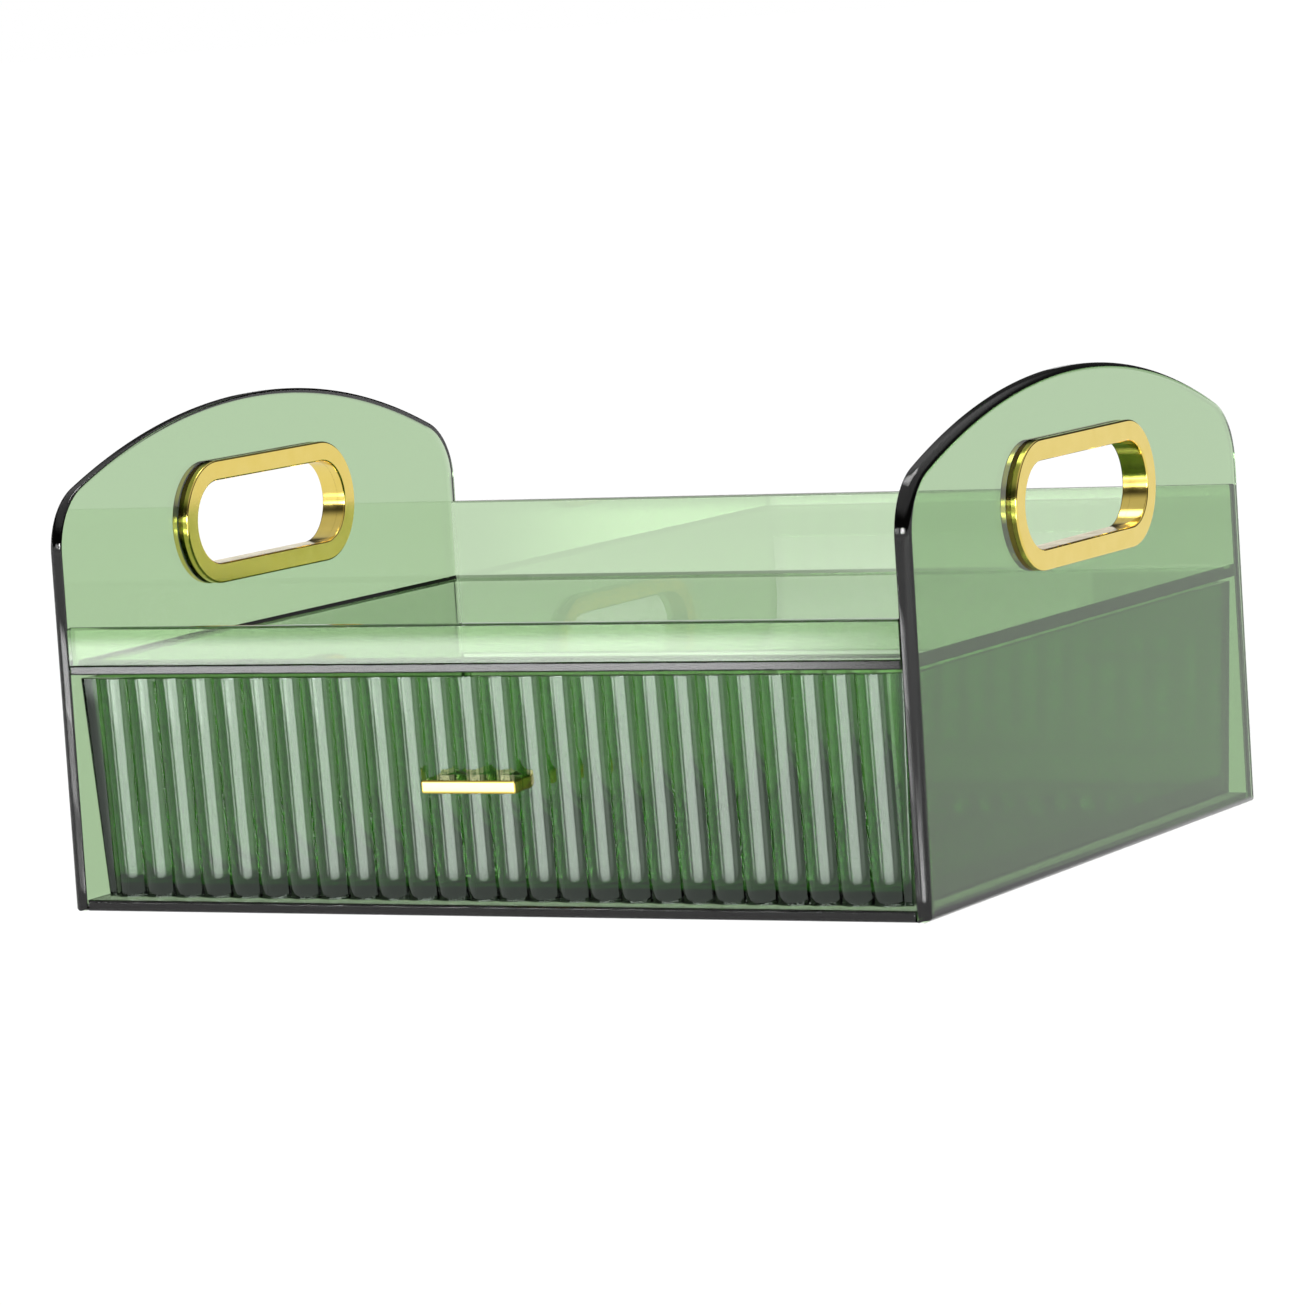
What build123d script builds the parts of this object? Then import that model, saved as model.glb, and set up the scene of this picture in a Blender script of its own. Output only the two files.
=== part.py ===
"""Makeup drawer box: an open tray between two arched side panels, over one sliding drawer.

Millimetres, +Z up, +X to the right, front towards -Y.
The origin is the middle of the underside, so the cabinet spans its depth evenly about Y = 0.
"""
import os
from math import cos, radians

from build123d import *

# Cabinet sheets
cabinet_width = 300.0
cabinet_depth = 250.0
panel_thickness = 5.0
panel_rise = 76.0
arch_rise = 26.5
shoulder_radius = 22.0
panel_edge_share = 0.34
base_thickness = 3.5
bay_height = 71.5
back_thickness = 4.0
back_rise = 27.0
tray_floor_thickness = 3.0
lip_thickness = 3.5
lip_height = 12.0
sheet_edge_share = 0.22

# Grip rings, each two halves that plug together in the hand-hole
grip_length = 93.0
grip_height = 27.0
grip_drop = 40.0
ring_band = 6.6
ring_flange = 2.0
ring_edge_share = 0.3
sleeve_wall = 1.6
sleeve_clearance = 0.2
spigot_wall_share = 0.5
spigot_length = 1.5
spigot_clearance = 0.05

# Drawer, one moulding whose walls draw in towards its floor by the draft, in degrees
drawer_draft = 2.5
front_recess = 4.0
front_margin = 6.0
flute_count = 26
flute_depth = 2.0
drawer_side_gap = 0.9
drawer_back_gap = 1.5
drawer_top_gap = 1.4
running_gap = 0.3
drawer_wall = 2.3
drawer_bottom = 3.5
drawer_edge_share = 0.4
hollow_radius = 4.0

# Pull and its screws
pull_width = 33.0
pull_thickness = 4.2
pull_reach = 10.0
pull_centre_height = 41.2
pull_edge_share = 0.2
screw_spacing = 20.0
screw_diameter = 3.0
screw_head_diameter = 5.6
screw_head_height = 2.0
screw_bite = 6.0
screw_clearance = 0.2

# Places that follow from the sizes above, where the panels and the back rise above the tray floor
bay_width = cabinet_width - 2 * panel_thickness
front_y = -cabinet_depth / 2
back_y = cabinet_depth / 2
back_inner_y = back_y - back_thickness
bay_top = base_thickness + bay_height
tray_floor_top = bay_top + tray_floor_thickness
panel_height = tray_floor_top + panel_rise
back_height = tray_floor_top + back_rise
shoulder_height = panel_height - arch_rise
grip_centre_height = panel_height - grip_drop
wall_front_y = front_y + front_recess
wall_inner_y = wall_front_y + drawer_wall
crest_y = wall_front_y - flute_depth
drawer_low = base_thickness + running_gap
drawer_rim = bay_top - drawer_top_gap


def span_box(x_low, x_high, y_low, y_high, z_low, z_high):
    """A box between two limits on each axis."""
    size = (x_high - x_low, y_high - y_low, z_high - z_low)
    return Pos(x_low, y_low, z_low) * Box(*size, align=(Align.MIN, Align.MIN, Align.MIN))


def y_cylinder(x, z, diameter, y_low, y_high):
    """A round bar along Y between two limits."""
    axis_plane = Plane(origin=(x, y_low, z), x_dir=(1, 0, 0), z_dir=(0, 1, 0))
    return extrude(axis_plane * Circle(diameter / 2), y_high - y_low)


def side_panel(inner_x):
    """An arched sheet with rounded shoulders, soft edges and a hand-hole, from inner_x towards +X."""
    front_shoulder = (front_y, shoulder_height)
    back_shoulder = (back_y, shoulder_height)
    sides = Polyline(back_shoulder, (back_y, 0), (front_y, 0), front_shoulder)
    arch = ThreePointArc(front_shoulder, (0, panel_height), back_shoulder)
    outline = make_face(sides + arch)
    outline = fillet(outline.vertices().sort_by(Axis.Y)[-2:], shoulder_radius)
    sheet = extrude(Plane.YZ.offset(inner_x) * outline, panel_thickness)
    rims = [edge for face in sheet.faces().filter_by(Axis.X) for edge in face.edges()]
    sheet = fillet(rims, panel_thickness * panel_edge_share)
    hole_length = grip_length + 2 * (sleeve_wall + sleeve_clearance)
    hole_height = grip_height + 2 * (sleeve_wall + sleeve_clearance)
    hole = Pos(0, grip_centre_height) * SlotOverall(hole_length, hole_height)
    return sheet - extrude(Plane.YZ.offset(inner_x) * hole, panel_thickness)


def soft_sheet(sheet, thickness, edges):
    """Round the shown edges of a flat sheet by a share of its thickness."""
    return fillet(edges(sheet), thickness * sheet_edge_share)


def front_long_edges(sheet):
    """The upper and lower edge of a sheet's front face."""
    return sheet.faces().sort_by(Axis.Y)[0].edges().filter_by(Axis.X)


def top_long_edges(sheet):
    """The front and rear edge of a sheet's top face."""
    return sheet.faces().sort_by(Axis.Z)[-1].edges().filter_by(Axis.X)


def base_panel():
    """The floor under the drawer, between the side panels and in front of the back panel."""
    sheet = span_box(-bay_width / 2, bay_width / 2, front_y, back_inner_y, 0, base_thickness)
    return soft_sheet(sheet, base_thickness, front_long_edges)


def back_panel():
    """The sheet that closes the bay and stands up behind the tray."""
    sheet = span_box(-bay_width / 2, bay_width / 2, back_inner_y, back_y, 0, back_height)
    return soft_sheet(sheet, back_thickness, top_long_edges)


def tray_floor():
    """The roof of the drawer bay, which is the floor of the tray."""
    return span_box(-bay_width / 2, bay_width / 2, front_y, back_inner_y, bay_top, tray_floor_top)


def tray_front_lip():
    """The low strip that stands on the front edge of the tray floor."""
    lip_back = front_y + lip_thickness
    lip_top = tray_floor_top + lip_height
    sheet = span_box(-bay_width / 2, bay_width / 2, front_y, lip_back, tray_floor_top, lip_top)
    return soft_sheet(sheet, lip_thickness, top_long_edges)


def stadium_tube(inner_growth, outer_growth, low, high):
    """A tube with the grip opening's outline, grown by two walls, between two heights."""
    outer = SlotOverall(grip_length + 2 * outer_growth, grip_height + 2 * outer_growth)
    inner = SlotOverall(grip_length + 2 * inner_growth, grip_height + 2 * inner_growth)
    return extrude(Pos(0, 0, low) * (outer - inner), high - low)


def ring_half(face_x, outward, plugs):
    """Half a grip ring: a flange on the panel's face and a sleeve to the panel's middle.

    The half that plugs carries a spigot on its bore side, and the other has the socket for it.
    """
    middle = -panel_thickness / 2
    flange = stadium_tube(0, ring_band, 0, ring_flange)
    crown = flange.faces().sort_by(Axis.Z)[-1]
    flange = fillet(crown.edges(), ring_flange * ring_edge_share)
    half = flange + stadium_tube(0, sleeve_wall, middle, 0)
    spigot_wall = sleeve_wall * spigot_wall_share
    if plugs:
        half += stadium_tube(0, spigot_wall, middle - spigot_length, middle)
    else:
        socket_depth = spigot_length + spigot_clearance
        half -= stadium_tube(0, spigot_wall + spigot_clearance, middle, middle + socket_depth)
    seat = Plane(origin=(face_x, 0, grip_centre_height), x_dir=(0, 1, 0), z_dir=(outward, 0, 0))
    return seat * half


def screw_places():
    """The X places of the two pull screws."""
    return (-screw_spacing / 2, screw_spacing / 2)


def screw_holes(y_low, y_high):
    """The clearance holes of both pull screws between two limits, upright."""
    hole_diameter = screw_diameter + 2 * screw_clearance
    return [y_cylinder(x, pull_centre_height, hole_diameter, y_low, y_high) for x in screw_places()]


def lean(upright):
    """Turn an upright piece on the drawer's front by the draft, about the flutes' crests at the rim."""
    hinge_line = Axis((0, crest_y, drawer_rim), (1, 0, 0))
    return upright.rotate(hinge_line, drawer_draft)


def front_flutes():
    """Convex flutes, side by side on the leaning front wall, from the rim to the underside."""
    fluted_half = bay_width / 2 - drawer_side_gap - front_margin
    pitch = 2 * fluted_half / flute_count
    root_y = wall_front_y + drawer_wall / 2
    left_end = (-fluted_half, wall_front_y)
    right_end = (fluted_half, wall_front_y)
    outline = Polyline(left_end, (-fluted_half, root_y), (fluted_half, root_y), right_end)
    for index in range(flute_count):
        left = -fluted_half + index * pitch
        crest = (left + pitch / 2, crest_y)
        outline += ThreePointArc((left, wall_front_y), crest, (left + pitch, wall_front_y))
    rim_section = Pos(0, 0, drawer_rim) * make_face(outline)
    down_the_wall = Vector(0, 0, -1).rotate(Axis.X, drawer_draft)
    slant_height = (drawer_rim - drawer_low) / cos(radians(drawer_draft))
    return extrude(rim_section, slant_height, dir=down_the_wall)


def drafted_block(inset, low, edge_radius):
    """The drawer's outer block, or its hollow when inset by the wall, from its floor to the rim."""
    half_width = bay_width / 2 - drawer_side_gap - inset
    front = wall_front_y + inset
    back = back_inner_y - drawer_back_gap - inset
    rim_face = Pos(0, (front + back) / 2, drawer_rim) * Rectangle(2 * half_width, back - front)
    block = extrude(rim_face, low - drawer_rim, taper=drawer_draft)
    rim_edges = block.faces().sort_by(Axis.Z)[-1].edges()
    lower_edges = [edge for edge in block.edges() if edge not in rim_edges]
    return fillet(lower_edges, edge_radius)


def drawer_box():
    """The moulded open box with its reeded front, drilled for the pull's screws."""
    outside = drafted_block(0, drawer_low, drawer_wall * drawer_edge_share)
    hollow = drafted_block(drawer_wall, drawer_low + drawer_bottom, hollow_radius)
    moulding = outside + front_flutes() - hollow
    return moulding - [lean(hole) for hole in screw_holes(crest_y, wall_inner_y + drawer_wall)]


def drawer_pull():
    """The plated bar: its rear rests on the flutes' crests and is tapped for two screws."""
    half_width = pull_width / 2
    low = pull_centre_height - pull_thickness / 2
    high = pull_centre_height + pull_thickness / 2
    bar = span_box(-half_width, half_width, crest_y - pull_reach, crest_y, low, high)
    rear_edges = bar.faces().sort_by(Axis.Y)[-1].edges()
    shown_edges = [edge for edge in bar.edges() if edge not in rear_edges]
    bar = fillet(shown_edges, pull_thickness * pull_edge_share)
    return lean(bar - screw_holes(crest_y - screw_bite - screw_clearance, crest_y))


def pull_screws():
    """Two pan-head screws from inside the drawer, through its front wall into the pull."""
    head_end = wall_inner_y + screw_head_height
    screws = []
    for x in screw_places():
        shank = y_cylinder(x, pull_centre_height, screw_diameter, crest_y - screw_bite, wall_inner_y)
        head = y_cylinder(x, pull_centre_height, screw_head_diameter, wall_inner_y, head_end)
        screws.append(lean(shank + head))
    return Compound(screws)


right_inner_x = bay_width / 2
right_outer_x = cabinet_width / 2
pieces = {
    "left_side_panel": side_panel(-right_outer_x),
    "right_side_panel": side_panel(right_inner_x),
    "base_panel": base_panel(),
    "back_panel": back_panel(),
    "tray_floor": tray_floor(),
    "tray_front_lip": tray_front_lip(),
    "left_grip_ring_outer": ring_half(-right_outer_x, -1, True),
    "left_grip_ring_inner": ring_half(-right_inner_x, 1, False),
    "right_grip_ring_outer": ring_half(right_outer_x, 1, True),
    "right_grip_ring_inner": ring_half(right_inner_x, -1, False),
    "drawer_box": drawer_box(),
    "drawer_pull": drawer_pull(),
    "pull_screws": pull_screws(),
}

os.makedirs("parts", exist_ok=True)
for name, solid in pieces.items():
    export_step(solid, os.path.join("parts", name + ".step"))
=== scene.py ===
"""A makeup drawer box of clear green plastic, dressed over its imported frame, in metres."""
from math import asin, cos, pi, radians, tan

import bmesh
import bpy
from mathutils import Matrix, Vector


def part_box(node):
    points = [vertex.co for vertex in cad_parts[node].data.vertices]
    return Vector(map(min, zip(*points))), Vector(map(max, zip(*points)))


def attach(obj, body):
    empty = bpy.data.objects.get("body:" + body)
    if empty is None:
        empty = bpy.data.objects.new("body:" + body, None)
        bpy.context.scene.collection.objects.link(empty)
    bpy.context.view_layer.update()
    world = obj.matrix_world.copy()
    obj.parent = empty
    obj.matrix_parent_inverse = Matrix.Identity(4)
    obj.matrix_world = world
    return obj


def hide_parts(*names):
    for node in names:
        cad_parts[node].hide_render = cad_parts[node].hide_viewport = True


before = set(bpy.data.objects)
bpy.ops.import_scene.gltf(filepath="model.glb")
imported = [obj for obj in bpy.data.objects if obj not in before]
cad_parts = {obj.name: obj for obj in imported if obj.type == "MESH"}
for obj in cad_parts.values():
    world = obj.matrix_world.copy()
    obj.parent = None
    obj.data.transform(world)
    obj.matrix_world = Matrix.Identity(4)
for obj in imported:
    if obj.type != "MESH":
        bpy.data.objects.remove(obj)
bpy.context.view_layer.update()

# Side panels: two 5 mm sheets of clear green acrylic, cut to a low arch and polished round all their edges.
# They stand on end and carry the rest: the base, the back and the tray floor are bonded between them.
# Each has a long hand-hole, routed through for a grip ring.
MM = 0.001
TINY = 0.02 * MM
CREASE = radians(35)
ACROSS = (1, 0, 0)


def take(name, primitive, reach, place, **settings):
    """Start a piece from a unit primitive, at its size and place, with its mesh open for editing."""
    if bpy.context.mode != "OBJECT":
        bpy.ops.object.mode_set(mode="OBJECT")
    bpy.ops.object.select_all(action="DESELECT")
    primitive(**settings)
    piece = bpy.context.object
    piece.name = name
    piece.data.name = name
    bpy.ops.object.transform_apply(location=True, rotation=True, scale=True)
    bpy.ops.object.mode_set(mode="EDIT")
    bpy.ops.mesh.select_all(action="SELECT")
    bpy.ops.transform.resize(value=reach, center_override=(0, 0, 0))
    bpy.ops.transform.translate(value=place)
    return piece


def pick(kind, test, along=None):
    """Select the open mesh's verts, edges or faces whose corners all pass a test.

    With along, only edges that run along that axis are selected.
    """
    bpy.ops.mesh.select_mode(type={"verts": "VERT", "edges": "EDGE", "faces": "FACE"}[kind])
    bpy.ops.mesh.select_all(action="DESELECT")
    mesh = bmesh.from_edit_mesh(bpy.context.object.data)
    for part in getattr(mesh, kind):
        corners = [part.co] if kind == "verts" else [corner.co for corner in part.verts]
        lies_along = along is None or abs((corners[1] - corners[0]).normalized()[along]) > 0.99
        if lies_along and all(test(corner) for corner in corners):
            part.select_set(True)
    mesh.select_flush_mode()
    bmesh.update_edit_mesh(bpy.context.object.data)


def push(shift):
    """Extrude what is selected, in a straight line."""
    bpy.ops.mesh.extrude_region_move(TRANSFORM_OT_translate={"value": shift})


def turn(angle, centre, steps, axis=ACROSS):
    """Spin what is selected about an axis through a centre."""
    bpy.ops.mesh.spin(angle=angle, center=centre, steps=steps, axis=axis)


def close_up():
    """Weld the open mesh's seams and point its faces outwards."""
    bpy.ops.mesh.select_all(action="SELECT")
    bpy.ops.mesh.remove_doubles(threshold=TINY / 4)
    bpy.ops.mesh.normals_make_consistent(inside=False)


def hold(piece):
    """Leave edit mode and make the piece the only one selected."""
    bpy.ops.object.mode_set(mode="OBJECT")
    bpy.ops.object.select_all(action="DESELECT")
    piece.select_set(True)
    bpy.context.view_layer.objects.active = piece


def run_modifier(piece, kind, **settings):
    """Give the piece one modifier and apply it."""
    hold(piece)
    bpy.ops.object.modifier_add(type=kind)
    modifier = piece.modifiers[-1]
    for key, value in settings.items():
        setattr(modifier, key, value)
    bpy.ops.object.modifier_apply(modifier=modifier.name)


def cut(piece, tool):
    """Cut a tool's shape out of a piece and put the tool away."""
    run_modifier(piece, "BOOLEAN", operation="DIFFERENCE", solver="EXACT", object=tool)
    bpy.data.objects.remove(tool)


def buff(piece):
    """Shade the piece smooth up to its creases, with its flat faces truly flat."""
    hold(piece)
    bpy.ops.object.shade_smooth_by_angle(angle=CREASE)
    run_modifier(piece, "WEIGHTED_NORMAL", mode="FACE_AREA", weight=100, keep_sharp=True)


def mirrored(piece, name):
    """A copy of a piece with its own mesh, on the other side of the box."""
    hold(piece)
    bpy.ops.object.duplicate()
    copy = bpy.context.object
    copy.name = name
    copy.data.name = name
    bpy.ops.object.mode_set(mode="EDIT")
    bpy.ops.mesh.select_all(action="SELECT")
    bpy.ops.transform.resize(value=(-1, 1, 1), center_override=(0, 0, 0))
    close_up()
    return copy


def fit(piece, node, body, finish):
    """Put a finished piece in its node's place on a body, with its finish."""
    piece.data.materials.append(finish)
    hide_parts(node)
    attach(piece, body)


def linear(colour):
    """An sRGB hex colour as linear red, green, blue and alpha."""
    shares = [int(colour[at:at + 2], 16) / 255 for at in (1, 3, 5)]
    return [s / 12.92 if s <= 0.04045 else ((s + 0.055) / 1.055) ** 2.4 for s in shares] + [1.0]


def add_node(tree, kind, inputs, **settings):
    """Add a node with its settings, and set each input to a value or link it to a socket."""
    node = tree.nodes.new(kind)
    for key, value in settings.items():
        setattr(node, key, value)
    for key, value in inputs.items():
        if isinstance(value, bpy.types.NodeSocket):
            tree.links.new(value, node.inputs[key])
        else:
            node.inputs[key].default_value = value
    return node


def open_material(name):
    """A new empty material and its node tree."""
    material = bpy.data.materials.new(name)
    material.use_nodes = True
    material.node_tree.nodes.clear()
    return material, material.node_tree


def clear_green(name, ior, dye_density, ripple_mm, shine):
    """Clear plastic dyed green right through: pale where thin, deep green to black along an edge.

    Its polish ripples faintly and hazes a little where hands have been.
    Shine is the colour that it mirrors in.
    """
    ripple_depth = 0.02 * MM
    smear_mm = 28
    smear_haze = 0.015
    material, tree = open_material(name)
    place = add_node(tree, "ShaderNodeTexCoord", {}).outputs["Object"]
    ripple = add_node(tree, "ShaderNodeTexNoise",
                      {"Vector": place, "Scale": 1 / (ripple_mm * MM), "Detail": 1.0})
    bump = add_node(tree, "ShaderNodeBump",
                    {"Height": ripple.outputs["Fac"], "Strength": 1.0, "Distance": ripple_depth})
    smears = add_node(tree, "ShaderNodeTexNoise",
                      {"Vector": place, "Scale": 1 / (smear_mm * MM), "Detail": 4.0})
    haze = add_node(tree, "ShaderNodeMapRange",
                    {"Value": smears.outputs["Fac"], "From Min": 0.35, "From Max": 0.75,
                     "To Min": 0.0, "To Max": smear_haze})
    surface = add_node(tree, "ShaderNodeBsdfPrincipled",
                       {"Base Color": linear("#FBFDFB"), "Roughness": haze.outputs["Result"],
                        "Normal": bump.outputs["Normal"], "IOR": ior, "Transmission Weight": 1.0,
                        "Specular Tint": linear(shine)})
    dye = add_node(tree, "ShaderNodeVolumeAbsorption", {"Color": linear("#ABD093"), "Density": dye_density})
    add_node(tree, "ShaderNodeOutputMaterial",
             {"Surface": surface.outputs["BSDF"], "Volume": dye.outputs["Volume"]})
    return material


panel_low, panel_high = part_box("right_side_panel")
half_depth = panel_high.y
outer_edge_round, outer_edge_steps = 2.6 * MM, 10
inner_edge_round, inner_edge_steps = 0.8 * MM, 4
shoulder_round, shoulder_steps = 22.0 * MM, 24
arch_rise, arch_steps = 26.5 * MM, 72
arch_radius = (half_depth ** 2 + arch_rise ** 2) / (2 * arch_rise)
arch_centre_z = panel_high.z - arch_radius
shoulder_y = half_depth - shoulder_round
shoulder_tilt = asin(shoulder_y / (arch_radius - shoulder_round))
shoulder_z = arch_centre_z + (arch_radius - shoulder_round) * cos(shoulder_tilt)
grip_height = 27.0 * MM
grip_straight = 33.0 * MM
grip_z = 114.0 * MM
grip_wall = 1.8 * MM
grip_steps = 40
router_length = 20.0 * MM


def sweep_grip():
    """Carry the selected edges once round the long hand-hole, clockwise from its top, and close the seam."""
    for end in (1, -1):
        turn(pi, (0, end * grip_straight, grip_z), grip_steps)
        push((0, -2 * end * grip_straight, 0))
    close_up()


right_panel = take("right_side_panel_sheet", bpy.ops.mesh.primitive_plane_add,
                   (1, 2 * half_depth, shoulder_z), (panel_low.x, 0, shoulder_z / 2),
                   size=1, rotation=(0, pi / 2, 0))
bpy.ops.mesh.delete(type="ONLY_FACE")
pick("edges", lambda at: at.z > shoulder_z - TINY)
bpy.ops.mesh.delete(type="EDGE")
pick("verts", lambda at: at.z > shoulder_z - TINY and at.y < 0)
turn(pi / 2 - shoulder_tilt, (0, -shoulder_y, shoulder_z), shoulder_steps)
turn(2 * shoulder_tilt, (0, 0, arch_centre_z), arch_steps)
turn(pi / 2 - shoulder_tilt, (0, shoulder_y, shoulder_z), shoulder_steps)
bpy.ops.mesh.select_all(action="SELECT")
bpy.ops.mesh.remove_doubles(threshold=TINY)
bpy.ops.mesh.edge_face_add()
push((panel_high.x - panel_low.x, 0, 0))
close_up()
for face_x, radius, steps in ((panel_high.x, outer_edge_round, outer_edge_steps),
                              (panel_low.x, inner_edge_round, inner_edge_steps)):
    pick("edges", lambda at: abs(at.x - face_x) < TINY)
    bpy.ops.mesh.bevel(offset=radius, segments=steps, affect="EDGES", clamp_overlap=False)
close_up()

router_top = grip_z + grip_height / 2 + grip_wall
router = take("hand_hole_router", bpy.ops.mesh.primitive_plane_add, (router_length, router_length, 1),
              (panel_low.x, grip_straight - router_length / 2, router_top), size=1)
pick("verts", lambda at: at.y < grip_straight - TINY)
bpy.ops.mesh.delete(type="VERT")
bpy.ops.mesh.select_all(action="SELECT")
sweep_grip()
for end in (-1, 1):
    pick("edges", lambda at: (at.x - panel_low.x) * end > router_length / 2 - TINY)
    bpy.ops.mesh.edge_face_add()
close_up()
cut(right_panel, router)

left_panel = mirrored(right_panel, "left_side_panel_sheet")
cast_acrylic = clear_green("cast_acrylic_clear_green", 1.49, 235.0, 90, "#FFFFFF")
for panel, side in ((right_panel, "right"), (left_panel, "left")):
    buff(panel)
    fit(panel, side + "_side_panel", "cabinet", cast_acrylic)

# Base, back, tray floor and lip: flat sheets of the same acrylic, sawn to size and bonded with clear cement.
# A film of it parts each joint, and a bead of it stands along the tray floor's sides and rear.
# The lip stands on that floor's front edge. Only the edges that a hand meets are rounded over.
bond = 0.08 * MM
bead = 1.1 * MM
bead_front = -118.0 * MM


def front_edge(at, low, high):
    """Whether a corner lies at the front of a sheet's box."""
    return at.y < low.y + TINY


def top_edge(at, low, high):
    """Whether a corner lies at the top of a sheet's box."""
    return at.z > high.z - TINY


def sheet(name, node, low_trim, high_trim, rounded, radius, beaded=False):
    """A flat sheet in its node's box, trimmed at its joints, with its shown edges rounded over."""
    low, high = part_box(node)
    low = low + Vector(low_trim) * bond
    high = high - Vector(high_trim) * bond
    piece = take(name, bpy.ops.mesh.primitive_cube_add, high - low, (low + high) / 2, size=1)
    pick("edges", lambda at: rounded(at, low, high))
    bpy.ops.mesh.bevel(offset=radius, segments=5, affect="EDGES")
    if beaded:
        for cut_y in (bead_front - bead, bead_front):
            bpy.ops.mesh.select_all(action="SELECT")
            bpy.ops.mesh.bisect(plane_co=(0, cut_y, 0), plane_no=(0, 1, 0))
        pick("faces", lambda at: at.z > high.z - TINY and at.y > bead_front - TINY)
        bpy.ops.mesh.inset(thickness=bead)
        pick("verts", lambda at: at.z > high.z - TINY and at.y > bead_front - TINY and
             (at.x < low.x + TINY or at.x > high.x - TINY or at.y > high.y - TINY))
        bpy.ops.transform.translate(value=(0, 0, bead))
    close_up()
    buff(piece)
    fit(piece, node, "cabinet", cast_acrylic)


sheet("base_sheet", "base_panel", (1, 0, 0), (1, 1, 0), front_edge, radius=0.77 * MM)
sheet("back_sheet", "back_panel", (1, 0, 0), (1, 0, 0), top_edge, radius=0.88 * MM)
sheet("tray_floor_sheet", "tray_floor", (1, 0, 0), (1, 1, 0), front_edge, radius=0.5 * MM, beaded=True)
sheet("tray_front_lip_strip", "tray_front_lip", (1, 0, 1), (1, 0, 0), top_edge, radius=0.77 * MM)

# Grip rings: moulded ABS halves, plated bright gold, that plug together through the hand-hole.
# The outer half carries a spigot on its bore side and the inner half has the socket for it.
# Each flange lies on the panel's face and its sleeve reaches to the panel's middle.
ring_band = 6.6 * MM
ring_flange = 2.0 * MM
ring_crown = 0.6 * MM
sleeve_wall = 1.6 * MM
sleeve_length = 2.5 * MM
spigot_length = 1.5 * MM
spigot_wall = 0.8 * MM
plug_clearance = 0.05 * MM
seat_gap = 0.05 * MM
# The sockets of a colour mix: its two colours, and what comes out.
MIX_FIRST, MIX_SECOND, MIXED = 6, 7, 2


def bright_gold(name, polish):
    """Gold plating: a warm mirror, slightly uneven in gloss where hands and cloths have been."""
    rubbed_mm = 6
    rubbed_haze = 0.06
    material, tree = open_material(name)
    place = add_node(tree, "ShaderNodeTexCoord", {}).outputs["Object"]
    rubbing = add_node(tree, "ShaderNodeTexNoise",
                       {"Vector": place, "Scale": 1 / (rubbed_mm * MM), "Detail": 5.0})
    gloss = add_node(tree, "ShaderNodeMapRange",
                     {"Value": rubbing.outputs["Fac"], "From Min": 0.3, "From Max": 0.7,
                      "To Min": polish, "To Max": polish + rubbed_haze})
    tone = add_node(tree, "ShaderNodeMix",
                    {"Factor": rubbing.outputs["Fac"], MIX_FIRST: linear("#DCC35E"),
                     MIX_SECOND: linear("#E7D078")}, data_type="RGBA")
    surface = add_node(tree, "ShaderNodeBsdfPrincipled",
                       {"Base Color": tone.outputs[MIXED], "Roughness": gloss.outputs["Result"],
                        "Metallic": 1.0})
    add_node(tree, "ShaderNodeOutputMaterial", {"Surface": surface.outputs["BSDF"]})
    return material


def ring_half(name, face_x, outward, plugs):
    """One half of a grip ring on the right panel: its section, carried round the hand-hole."""
    bore = grip_z + grip_height / 2
    step = bore + spigot_wall + (0 if plugs else plug_clearance)
    full_run = sleeve_length if plugs else sleeve_length - spigot_length - plug_clearance
    plug_run = spigot_length if plugs else spigot_length + plug_clearance
    seat = face_x + outward * seat_gap
    crown = face_x + outward * ring_flange
    piece = take(name, bpy.ops.mesh.primitive_plane_add, (abs(crown - seat), 1, ring_band),
                 ((seat + crown) / 2, grip_straight, bore + ring_band / 2),
                 size=1, rotation=(pi / 2, 0, 0))
    for cut_z in (bore + sleeve_wall, step):
        bpy.ops.mesh.select_all(action="SELECT")
        bpy.ops.mesh.bisect(plane_co=(0, 0, cut_z), plane_no=(0, 0, 1))
    pick("edges", lambda at: abs(at.x - seat) < TINY and at.z < bore + sleeve_wall + TINY)
    push((-outward * (full_run + seat_gap), 0, 0))
    sleeve_end = face_x - outward * full_run
    pick("edges", lambda at: abs(at.x - sleeve_end) < TINY and
         (at.z < step + TINY if plugs else at.z > step - TINY))
    push((-outward * plug_run, 0, 0))
    bpy.ops.mesh.select_all(action="SELECT")
    bpy.ops.mesh.dissolve_limited(angle_limit=radians(1))
    pick("verts", lambda at: abs(at.x - crown) < TINY)
    bpy.ops.mesh.bevel(offset=ring_crown, segments=5, affect="VERTICES")
    bpy.ops.mesh.select_all(action="SELECT")
    bpy.ops.mesh.delete(type="ONLY_FACE")
    bpy.ops.mesh.select_all(action="SELECT")
    sweep_grip()
    return piece


plated_abs = bright_gold("gold_plated_abs", 0.1)
for half, face_x, outward, plugs in (("outer", panel_high.x, 1, True), ("inner", panel_low.x, -1, False)):
    right_half = ring_half("right_grip_ring_" + half + "_half", face_x, outward, plugs)
    left_half = mirrored(right_half, "left_grip_ring_" + half + "_half")
    for ring, side in ((right_half, "right"), (left_half, "left")):
        buff(ring)
        fit(ring, side + "_grip_ring_" + half, "cabinet", plated_abs)

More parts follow.
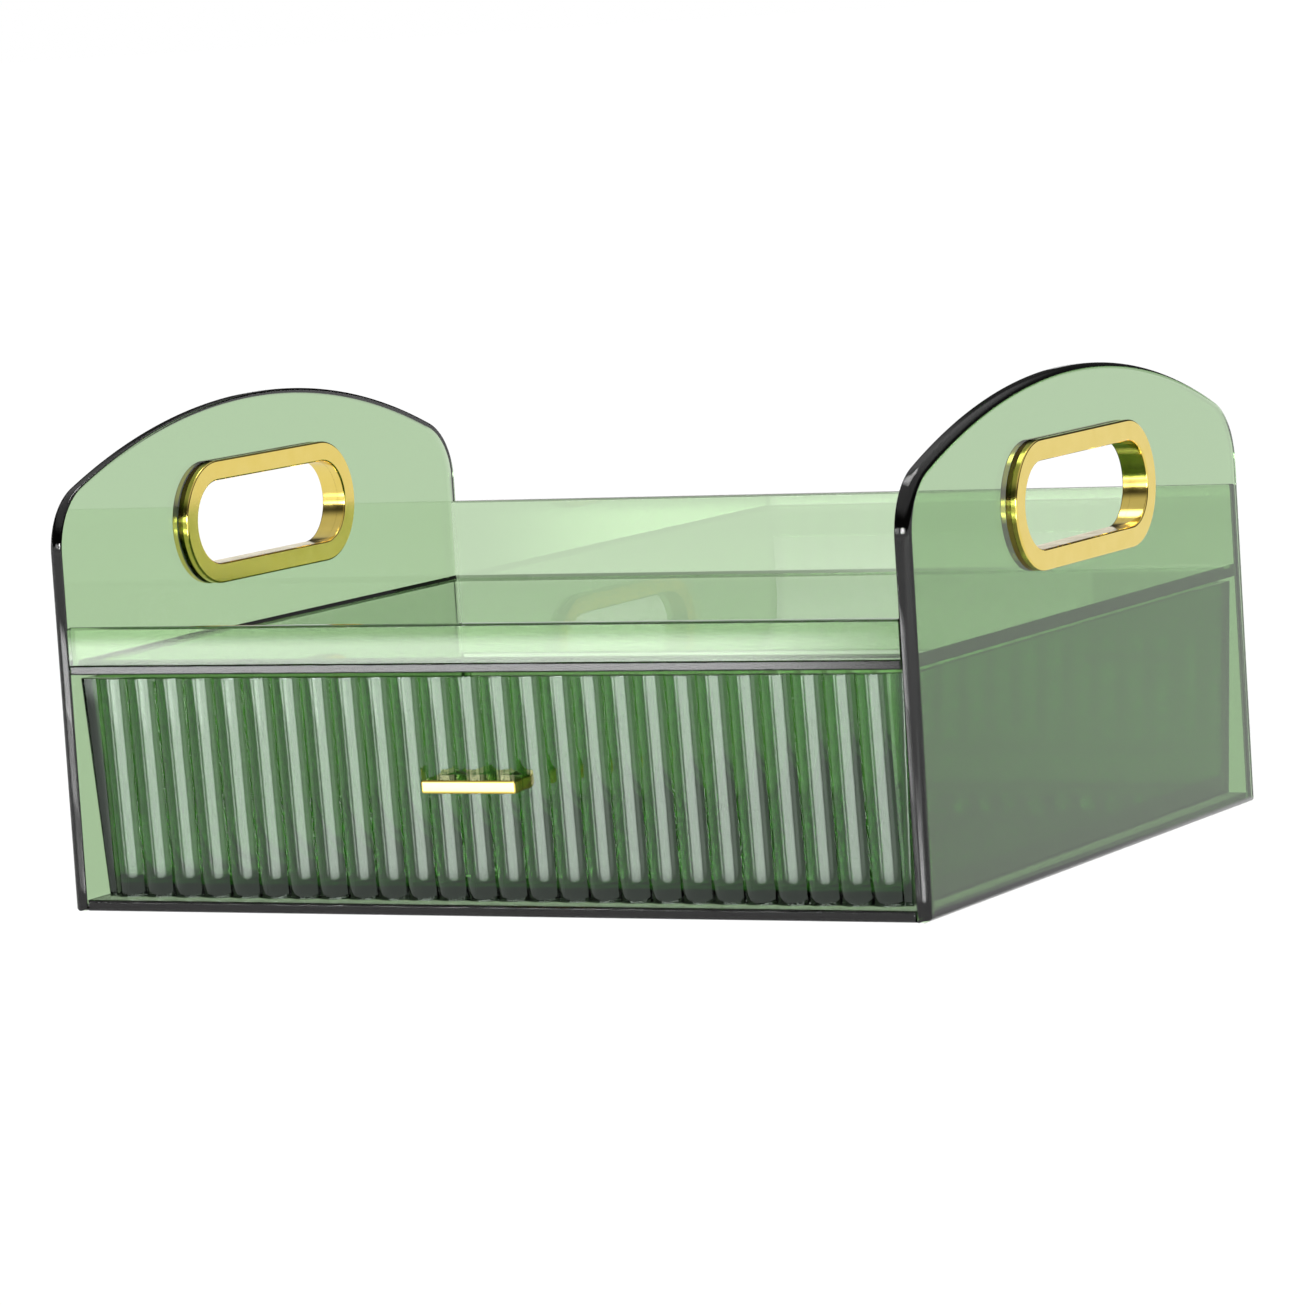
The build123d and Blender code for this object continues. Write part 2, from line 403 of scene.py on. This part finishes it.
# Drawer: an open box moulded in one shot of clear green polystyrene, with a round-bottomed hollow.
# Its walls draw in towards the floor so that it leaves the mould, and it slides on the base.
# Its front wall is reeded with twenty-six flutes and drilled for the pull's two screws.
drawer_low, drawer_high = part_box("drawer_box")
draft = radians(2.5)
drawer_wall = 2.3 * MM
drawer_bottom = 3.5 * MM
outer_round, hollow_round, rim_round = 0.92 * MM, 4.0 * MM, 0.3 * MM
front_margin = 6.0 * MM
flute_count, flute_steps = 26, 20
flute_depth = 2.0 * MM
screw_x, screw_z = 10.0 * MM, 41.2 * MM
hole_radius, drill_length = 1.7 * MM, 20.0 * MM
round_sides = 32
UPWARD = (0, 0, 1)
hinge = Vector((0, drawer_low.y, drawer_high.z))
wall_front = drawer_low.y + flute_depth
drawer_half = drawer_high.x
fluted_half = drawer_half - front_margin
pitch = 2 * fluted_half / flute_count
flute_radius = (pitch ** 2 / 4 + flute_depth ** 2) / (2 * flute_depth)
flute_sweep = 2 * asin(pitch / 2 / flute_radius)
drawer_height = drawer_high.z - drawer_low.z
draw_in = drawer_height * tan(draft)


def lean():
    """Tip the whole open mesh by the draft, about the flutes' crests at the rim."""
    bpy.ops.mesh.select_all(action="SELECT")
    bpy.ops.transform.rotate(value=-draft, orient_axis="X", center_override=hinge)


drawer = take("drawer_box_moulding", bpy.ops.mesh.primitive_plane_add, (pitch, 1, drawer_height),
              (-fluted_half - pitch / 2, wall_front, drawer_low.z + drawer_height / 2),
              size=1, rotation=(pi / 2, 0, 0))
pick("verts", lambda at: at.x < -fluted_half - TINY)
bpy.ops.mesh.delete(type="VERT")
bpy.ops.mesh.select_all(action="SELECT")
turn(-flute_sweep, (-fluted_half + pitch / 2, drawer_low.y + flute_radius, 0), flute_steps, UPWARD)
run_modifier(drawer, "ARRAY", count=flute_count, use_relative_offset=False, use_constant_offset=True,
             constant_offset_displace=(pitch, 0, 0), use_merge_vertices=True, merge_threshold=TINY)
bpy.ops.object.mode_set(mode="EDIT")
for side in (-1, 1):
    pick("edges", lambda at: at.x * side > fluted_half - TINY)
    push((side * front_margin, 0, 0))
    push((0, drawer_high.y - wall_front, 0))
pick("edges", lambda at: at.y > drawer_high.y - TINY)
bpy.ops.mesh.edge_face_add()
pick("edges", lambda at: abs(at.x) > drawer_half - TINY, along=2)
bpy.ops.mesh.bevel(offset=outer_round, segments=4, affect="EDGES")
for level in (drawer_low.z, drawer_high.z):
    pick("edges", lambda at: abs(at.z - level) < TINY)
    bpy.ops.mesh.edge_face_add()
for test, shift in ((lambda at: at.x < -fluted_half - TINY, (draw_in, 0, 0)),
                    (lambda at: at.x > fluted_half + TINY, (-draw_in, 0, 0)),
                    (lambda at: at.y < 0, (0, draw_in, 0)),
                    (lambda at: at.y > 0, (0, -draw_in, 0))):
    pick("verts", lambda at: at.z < drawer_low.z + TINY and test(at))
    bpy.ops.transform.translate(value=shift)
pick("edges", lambda at: at.z < drawer_low.z + TINY and at.y > wall_front + draw_in + outer_round - TINY)
bpy.ops.mesh.bevel(offset=outer_round, segments=4, affect="EDGES")
close_up()

core_spare = 8.0 * MM
core_flare = core_spare * tan(draft)
core_high = drawer_high + Vector((core_flare - drawer_wall, core_flare - drawer_wall, core_spare))
core_low = Vector((-core_high.x, wall_front + drawer_wall - core_flare, drawer_low.z + drawer_bottom))
core_middle = (core_low + core_high) / 2
core_draw = (core_high.z - core_low.z) * tan(draft)
core_taper = (1 - core_draw / core_high.x, 1 - core_draw / (core_high.y - core_middle.y), 1)
core = take("hollow_core", bpy.ops.mesh.primitive_cube_add, core_high - core_low, core_middle, size=1)
pick("faces", lambda at: at.z < core_low.z + TINY)
bpy.ops.transform.resize(value=core_taper, center_override=core_middle)
bpy.ops.mesh.select_all(action="SELECT")
bpy.ops.mesh.bevel(offset=hollow_round, segments=8, affect="EDGES")
cut(drawer, core)
bpy.ops.object.mode_set(mode="EDIT")
pick("faces", lambda at: at.z > drawer_high.z - TINY)
bpy.ops.mesh.region_to_loop()
bpy.ops.mesh.bevel(offset=rim_round, segments=2, affect="EDGES")
for x in (-screw_x, screw_x):
    bit = take("screw_drill", bpy.ops.mesh.primitive_cylinder_add, (1, 1, 1), (x, wall_front, screw_z),
               vertices=round_sides, radius=hole_radius, depth=drill_length, rotation=(pi / 2, 0, 0))
    lean()
    cut(drawer, bit)
buff(drawer)
# The moulding's shine is a pale green, as its wall's inner face sends light back through the dye.
moulded_styrene = clear_green("moulded_polystyrene_clear_green", 1.59, 800.0, 22, "#EEFFF0")
fit(drawer, "drawer_box", "drawer", moulded_styrene)

# Pull: a short square bar of zinc alloy, die-cast, polished and plated bright gold.
# It is rounded all over and sawn off square behind, where it rests on the flutes' crests.
# Two screws from inside the drawer hold it.
pull_half, pull_reach, pull_height = 16.5 * MM, 10.0 * MM, 4.2 * MM
pull_round = 0.84 * MM
pull_seat = drawer_low.y - seat_gap
pull = take("drawer_pull_bar", bpy.ops.mesh.primitive_cube_add, (2 * pull_half, 2 * pull_reach, pull_height),
            (0, drawer_low.y, screw_z), size=1)
bpy.ops.mesh.bevel(offset=pull_round, segments=5, affect="EDGES")
bpy.ops.mesh.select_all(action="SELECT")
bpy.ops.mesh.bisect(plane_co=(0, pull_seat, 0), plane_no=(0, 1, 0), use_fill=True, clear_outer=True)
close_up()
lean()
buff(pull)
plated_zinc = bright_gold("gold_plated_zinc", 0.06)
fit(pull, "drawer_pull", "drawer", plated_zinc)

# Pull screws: two zinc-plated pan-head screws, driven from inside the drawer through its front wall.
# The second is a copy of the first, and each head has a cross recess.
shank_radius = 1.5 * MM
head_radius = 2.8 * MM
head_height, head_round = 2.0 * MM, 0.9 * MM
recess_length, recess_width, recess_depth = 2.6 * MM, 0.6 * MM, 1.2 * MM
screw_bite = 6.0 * MM
head_y = wall_front + drawer_wall
tip_y = drawer_low.y - screw_bite


def zinc_plate():
    """Zinc-plated steel: a cool grey metal with a fine uneven satin gloss."""
    bloom_mm = 1.2
    material, tree = open_material("zinc_plated_steel")
    place = add_node(tree, "ShaderNodeTexCoord", {}).outputs["Object"]
    bloom = add_node(tree, "ShaderNodeTexNoise",
                     {"Vector": place, "Scale": 1 / (bloom_mm * MM), "Detail": 4.0})
    gloss = add_node(tree, "ShaderNodeMapRange",
                     {"Value": bloom.outputs["Fac"], "To Min": 0.22, "To Max": 0.42})
    tone = add_node(tree, "ShaderNodeMix",
                    {"Factor": bloom.outputs["Fac"], MIX_FIRST: linear("#B4B6B8"),
                     MIX_SECOND: linear("#D6D8D8")}, data_type="RGBA")
    surface = add_node(tree, "ShaderNodeBsdfPrincipled",
                       {"Base Color": tone.outputs[MIXED], "Roughness": gloss.outputs["Result"],
                        "Metallic": 1.0})
    add_node(tree, "ShaderNodeOutputMaterial", {"Surface": surface.outputs["BSDF"]})
    return material


screws = take("pull_screw_pair", bpy.ops.mesh.primitive_cylinder_add, (1, 1, 1),
              (-screw_x, (tip_y + head_y) / 2, screw_z),
              vertices=round_sides, radius=shank_radius, depth=head_y - tip_y, rotation=(pi / 2, 0, 0))
pick("faces", lambda at: at.y > head_y - TINY)
push((0, 0, 0))
bpy.ops.transform.resize(value=(head_radius / shank_radius, 1, head_radius / shank_radius),
                         center_override=(-screw_x, head_y, screw_z))
push((0, head_height, 0))
bpy.ops.mesh.bevel(offset=head_round, segments=5, affect="EDGES")
close_up()
for wide, tall in ((recess_length, recess_width), (recess_width, recess_length)):
    driver = take("cross_driver", bpy.ops.mesh.primitive_cube_add, (wide, 2 * recess_depth, tall),
                  (-screw_x, head_y + head_height, screw_z), size=1)
    cut(screws, driver)
bpy.ops.object.mode_set(mode="EDIT")
bpy.ops.mesh.select_all(action="SELECT")
bpy.ops.mesh.duplicate_move(TRANSFORM_OT_translate={"value": (2 * screw_x, 0, 0)})
lean()
buff(screws)
fit(screws, "pull_screws", "drawer", zinc_plate())

# Floor: a light table of opal acrylic, lit from below so that the box throws no hard shadow.
# Its glow is dimmed by painted shade towards the front left, and by a painted shadow of the box in a soft
# patch behind it.
# Its top is glossy in front, where it mirrors the soft lights, and matt under the box and just before it.
floor_half = 60.0
to_the_back = (0.74, 0.67, 0.0)
deepest_painted_shade, painted_shade_end = -1.0, -0.3
painted_shadow_middle, painted_shadow_turn, painted_shadow_half = (-0.16, 0.3, 0.0), (0, 0, 0.49), (0.19, 0.44, 1.0)
painted_shadow_core = 0.2
painted_shade_glow, full_glow = 0.5, 1.02
glossy_y, matt_y = -0.19, -0.165
floor = take("pale_light_table", bpy.ops.mesh.primitive_plane_add, (2 * floor_half, 2 * floor_half, 1),
             (0, 0, 0), size=1)
bpy.ops.object.mode_set(mode="OBJECT")
opal, tree = open_material("opal_floor_with_painted_shade")
place = add_node(tree, "ShaderNodeTexCoord", {}).outputs["Object"]
run_back = add_node(tree, "ShaderNodeVectorMath", {0: place, 1: to_the_back}, operation="DOT_PRODUCT")
# Painted shade: the floor's glow dims towards the front left.
lit = add_node(tree, "ShaderNodeMapRange",
               {"Value": run_back.outputs["Value"], "From Min": deepest_painted_shade, "From Max": painted_shade_end},
               interpolation_type="SMOOTHSTEP")
# Painted shadow: a soft dark patch in the floor's glow behind the box.
painted_shadow_place = add_node(tree, "ShaderNodeMapping",
                       {"Vector": place, "Location": painted_shadow_middle, "Rotation": painted_shadow_turn,
                        "Scale": painted_shadow_half}, vector_type="TEXTURE")
reach = add_node(tree, "ShaderNodeVectorMath", {"Vector": painted_shadow_place.outputs["Vector"]}, operation="LENGTH")
painted_shadow = add_node(tree, "ShaderNodeMapRange",
                 {"Value": reach.outputs["Value"], "From Min": painted_shadow_core, "From Max": 1.0},
                 interpolation_type="SMOOTHSTEP")
painted_light_share = add_node(tree, "ShaderNodeMath", {0: lit.outputs["Result"], 1: painted_shadow.outputs["Result"]},
                operation="MULTIPLY")
glow = add_node(tree, "ShaderNodeMapRange",
                {"Value": painted_light_share.outputs["Value"], "To Min": painted_shade_glow, "To Max": full_glow})
spot = add_node(tree, "ShaderNodeSeparateXYZ", {"Vector": place})
polish = add_node(tree, "ShaderNodeMapRange",
                  {"Value": spot.outputs["Y"], "From Min": glossy_y, "From Max": matt_y,
                   "To Min": 0.5, "To Max": 0.0})
surface = add_node(tree, "ShaderNodeBsdfPrincipled",
                   {"Base Color": linear("#202020"), "Roughness": 0.0, "Emission Color": linear("#FFFFFF"),
                    "Emission Strength": glow.outputs["Result"],
                    "Specular IOR Level": polish.outputs["Result"]})
add_node(tree, "ShaderNodeOutputMaterial", {"Surface": surface.outputs["BSDF"]})
floor.data.materials.append(opal)

# Studio: a dim room with a pale ceiling and a pale band low on its walls, and a broad soft light overhead.
# The flutes mirror a row of soft lights in front, by way of the glossy floor, and the pull a small one.
# The lip mirrors a low card on the left.
band_foot, band_head = 0.1, 0.14
ceiling_foot, ceiling_head = 0.42, 0.72
room_glow, ceiling_glow = 0.05, 0.65
row_y, row_z, row_height = -4.0, 0.82, 0.75
scene = bpy.context.scene
surround = bpy.data.worlds.new("studio_surround")
surround.use_nodes = True
surround.node_tree.nodes.clear()
tree = surround.node_tree
aim = add_node(tree, "ShaderNodeTexCoord", {}).outputs["Generated"]
split = add_node(tree, "ShaderNodeSeparateXYZ", {"Vector": aim})
band = add_node(tree, "ShaderNodeMapRange",
                {"Value": split.outputs["Z"], "From Min": band_foot, "From Max": band_head,
                 "To Min": 1.0, "To Max": 0.0}, interpolation_type="SMOOTHSTEP")
ceiling = add_node(tree, "ShaderNodeMapRange",
                   {"Value": split.outputs["Z"], "From Min": ceiling_foot, "From Max": ceiling_head,
                    "To Min": room_glow, "To Max": ceiling_glow}, interpolation_type="SMOOTHSTEP")
room = add_node(tree, "ShaderNodeMath", {0: band.outputs["Result"], 1: ceiling.outputs["Result"]},
                operation="MAXIMUM")
sky = add_node(tree, "ShaderNodeBackground", {"Color": linear("#FFFFFF"), "Strength": room.outputs["Value"]})
add_node(tree, "ShaderNodeOutputWorld", {"Surface": sky.outputs["Background"]})
scene.world = surround


def soft_light(name, place, aim_at, width, height, glow):
    """A rectangular soft light, turned towards a point, whose glow fades towards its edges."""
    bpy.ops.object.light_add(type="AREA", location=place)
    light = bpy.context.object
    light.name = name
    light.data.shape = "RECTANGLE"
    light.data.size = width
    light.data.size_y = height
    light.data.energy = glow * pi * width * height
    light.rotation_euler = (Vector(aim_at) - Vector(place)).to_track_quat("-Z", "Y").to_euler()
    light.data.use_nodes = True
    tree = light.data.node_tree
    tree.nodes.clear()
    cloth = add_node(tree, "ShaderNodeNewGeometry", {}).outputs["Parametric"]
    middle = add_node(tree, "ShaderNodeVectorMath", {0: cloth, 1: (0.5, 0.5, 0.0)}, operation="SUBTRACT")
    aside = add_node(tree, "ShaderNodeVectorMath", {0: middle.outputs["Vector"]}, operation="ABSOLUTE")
    split = add_node(tree, "ShaderNodeSeparateXYZ", {"Vector": aside.outputs["Vector"]})
    across = add_node(tree, "ShaderNodeMapRange",
                      {"Value": split.outputs["X"], "From Min": 0.28, "From Max": 0.5,
                       "To Min": 1.0, "To Max": 0.0}, interpolation_type="SMOOTHSTEP")
    upward = add_node(tree, "ShaderNodeMapRange",
                      {"Value": split.outputs["Y"], "From Min": 0.3, "From Max": 0.5,
                       "To Min": 1.0, "To Max": 0.0}, interpolation_type="SMOOTHSTEP")
    soft = add_node(tree, "ShaderNodeMath", {0: across.outputs["Result"], 1: upward.outputs["Result"]},
                    operation="MULTIPLY")
    lamp = add_node(tree, "ShaderNodeEmission", {"Strength": soft.outputs["Value"]})
    add_node(tree, "ShaderNodeOutputLight", {"Surface": lamp.outputs["Emission"]})


soft_light("overhead_softbox", (-0.4, 0.3, 2.2), (0, 0, 0.1), 1.6, 1.2, 5.0)
soft_light("front_softbox", (0.1, row_y, row_z), (0.1, 0, row_z), 3.7, row_height, 22.0)
soft_light("low_left_card", (-0.31, -0.6, 0.015), (-0.31, 0, 0.015), 0.5, 0.05, 8.0)
soft_light("small_softbox", (-2.27, row_y, 0.87), (-2.27, 0, 0.87), 0.6, 0.5, 16.0)
soft_light("left_softbox", (-2.2, row_y, row_z), (-2.2, 0, row_z), 1.5, row_height, 4.0)
soft_light("right_softbox", (2.0, row_y, row_z), (2.0, 0, row_z), 3.6, row_height, 4.0)

# Camera: a long lens a little above the tray, turned to the right-hand corner and slightly rolled.
# Its place and its lens come from fitting the box's corners to those in the photo.
azimuth, elevation, roll = 0.49277, 0.10492, -0.06449
view_from = Vector((933.818, -1746.775, 274.598)) * MM
lens_pixels, photo_pixels = 6198.23, 1305
bpy.ops.object.camera_add()
camera = bpy.context.object
camera.matrix_world = (Matrix.Translation(view_from) @ Matrix.Rotation(azimuth, 4, "Z")
                       @ Matrix.Rotation(pi / 2 - elevation, 4, "X") @ Matrix.Rotation(roll, 4, "Z"))
camera.data.sensor_width = 36.0
camera.data.lens = lens_pixels / photo_pixels * camera.data.sensor_width
scene.camera = camera

# Settings: plain colours, and enough bounces for light to pass through every sheet of the box.
# The clamp holds down stray glints, and the brightest mirrored lights with them.
scene.view_settings.view_transform = "Standard"
scene.cycles.max_bounces = 32
scene.cycles.transmission_bounces = 32
scene.cycles.glossy_bounces = 16
scene.cycles.diffuse_bounces = 4
scene.cycles.sample_clamp_indirect = 8.5
scene.cycles.use_denoising = True
